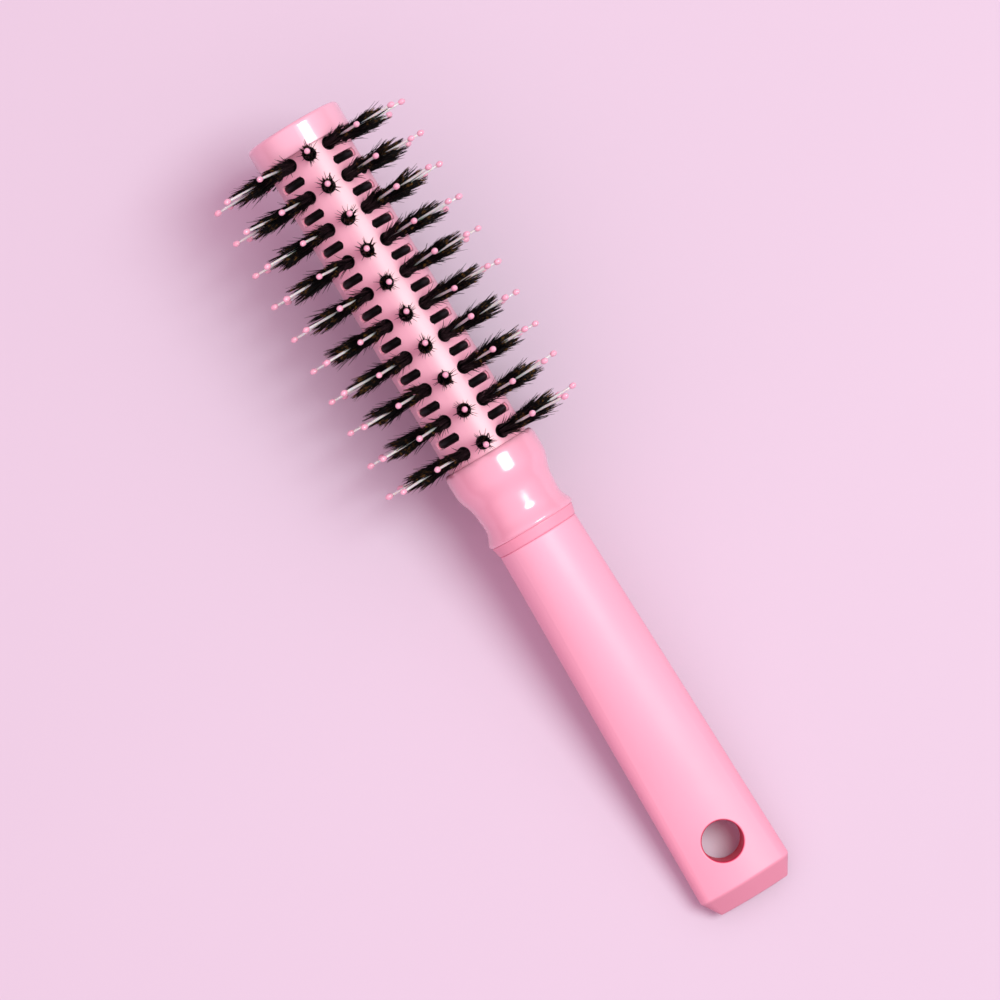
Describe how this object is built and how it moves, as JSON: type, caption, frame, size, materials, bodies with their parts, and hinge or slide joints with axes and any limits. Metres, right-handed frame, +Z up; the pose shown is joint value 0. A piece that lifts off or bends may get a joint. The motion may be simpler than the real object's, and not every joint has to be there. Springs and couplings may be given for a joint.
{
  "type": "round barrel brush",
  "caption": "Round hair brush with a vented barrel, mixed bristle and ball-tipped pins, a waisted neck and a flat soft-touch handle with a hanging hole.",
  "frame": {"origin": "centre of the brush's box, on the table that it rests on", "axes": "+X from the barrel to the handle end, +Z up from the table, +Y to the left; the brush rests on the lowest ball tip of its last ring and on the handle end, so its own axis slopes down towards +X"},
  "size_m": [0.2406, 0.06, 0.0745],
  "materials": {
    "gloss_pink": "polished moulded plastic",
    "barrel_pink": "satin-gloss moulded plastic",
    "frame_pink": "as moulded",
    "satin_pink": "satin",
    "core_plastic": "as moulded",
    "soft_touch_grip": "matt soft-touch",
    "carrier": "satin black",
    "bristle": "black and dark brown boar-type hair with a soft sheen",
    "nylon_pin": "translucent white nylon",
    "ball_tip": "glossy dipped tip"
  },
  "bodies": {
    "root": {"ball_row_01": "ball_tip", "ball_row_02": "ball_tip", "ball_row_03": "ball_tip", "ball_row_04": "ball_tip", "ball_row_05": "ball_tip", "ball_row_06": "ball_tip", "ball_row_07": "ball_tip", "ball_row_08": "ball_tip", "ball_row_09": "ball_tip", "ball_row_10": "ball_tip", "ball_row_11": "ball_tip", "ball_row_12": "ball_tip", "band_ring": "satin_pink", "barrel_shell": "barrel_pink", "barrel_spine": "frame_pink", "bristle_row_01": "bristle", "bristle_row_02": "bristle", "bristle_row_03": "bristle", "bristle_row_04": "bristle", "bristle_row_05": "bristle", "bristle_row_06": "bristle", "bristle_row_07": "bristle", "bristle_row_08": "bristle", "bristle_row_09": "bristle", "bristle_row_10": "bristle", "bristle_row_11": "bristle", "bristle_row_12": "bristle", "end_cap": "gloss_pink", "handle_core": "core_plastic", "handle_grip": "soft_touch_grip", "neck_collar": "gloss_pink", "pin_row_01": "nylon_pin", "pin_row_02": "nylon_pin", "pin_row_03": "nylon_pin", "pin_row_04": "nylon_pin", "pin_row_05": "nylon_pin", "pin_row_06": "nylon_pin", "pin_row_07": "nylon_pin", "pin_row_08": "nylon_pin", "pin_row_09": "nylon_pin", "pin_row_10": "nylon_pin", "pin_row_11": "nylon_pin", "pin_row_12": "nylon_pin", "single_row_carrier_1": "carrier", "single_row_carrier_2": "carrier", "single_row_carrier_3": "carrier", "single_row_carrier_4": "carrier", "twin_row_carrier_1": "carrier", "twin_row_carrier_2": "carrier", "twin_row_carrier_3": "carrier", "twin_row_carrier_4": "carrier"}
  },
  "joints": []
}
